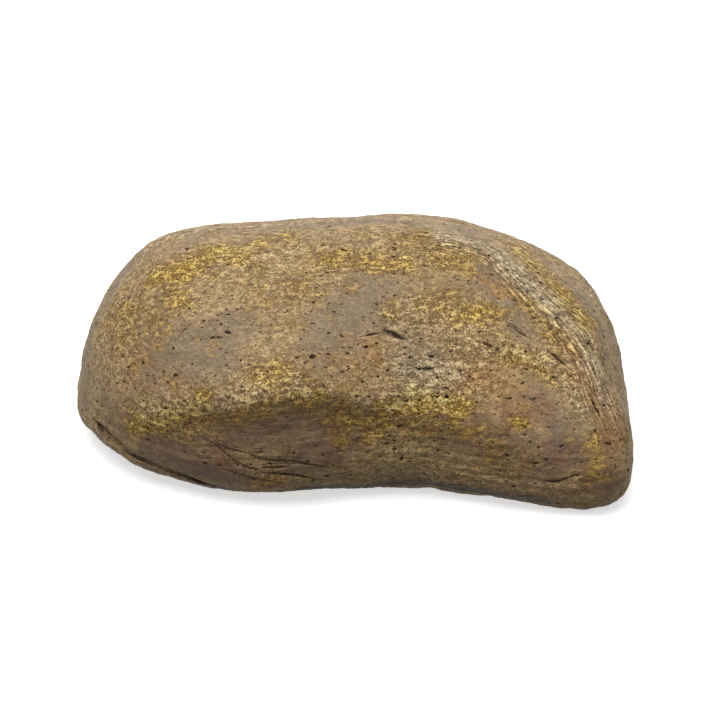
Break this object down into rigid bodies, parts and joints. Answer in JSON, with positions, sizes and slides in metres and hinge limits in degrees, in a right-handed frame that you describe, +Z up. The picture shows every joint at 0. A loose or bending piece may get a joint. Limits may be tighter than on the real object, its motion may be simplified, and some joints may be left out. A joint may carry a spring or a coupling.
{
  "type": "hide a key rock",
  "caption": "Cast resin stone that hides a spare key: a moulded key tray is screwed into the underside and shut by a sliding cover.",
  "frame": {"origin": "on the ground under the middle of the stone's bounding box", "axes": "+Z up, X along the stone with its low end at -X, front face towards -Y"},
  "size_m": [0.115, 0.08, 0.045],
  "materials": {
    "stone_resin": "matt, pitted, hand painted in brown, grey and ochre",
    "tray_plastic": "fine moulded texture",
    "cover_plastic": "fine moulded texture",
    "screw_steel": "zinc plated"
  },
  "bodies": {
    "rock": {"rock_shell": "stone_resin", "key_tray": "tray_plastic", "tray_screws": "screw_steel"},
    "cover": {"sliding_cover": "cover_plastic"}
  },
  "joints": [
    {"name": "cover_slide", "type": "slide", "parent": "rock", "child": "cover", "axis": [-1, 0, 0], "range_m": [0, 0.083]}
  ]
}
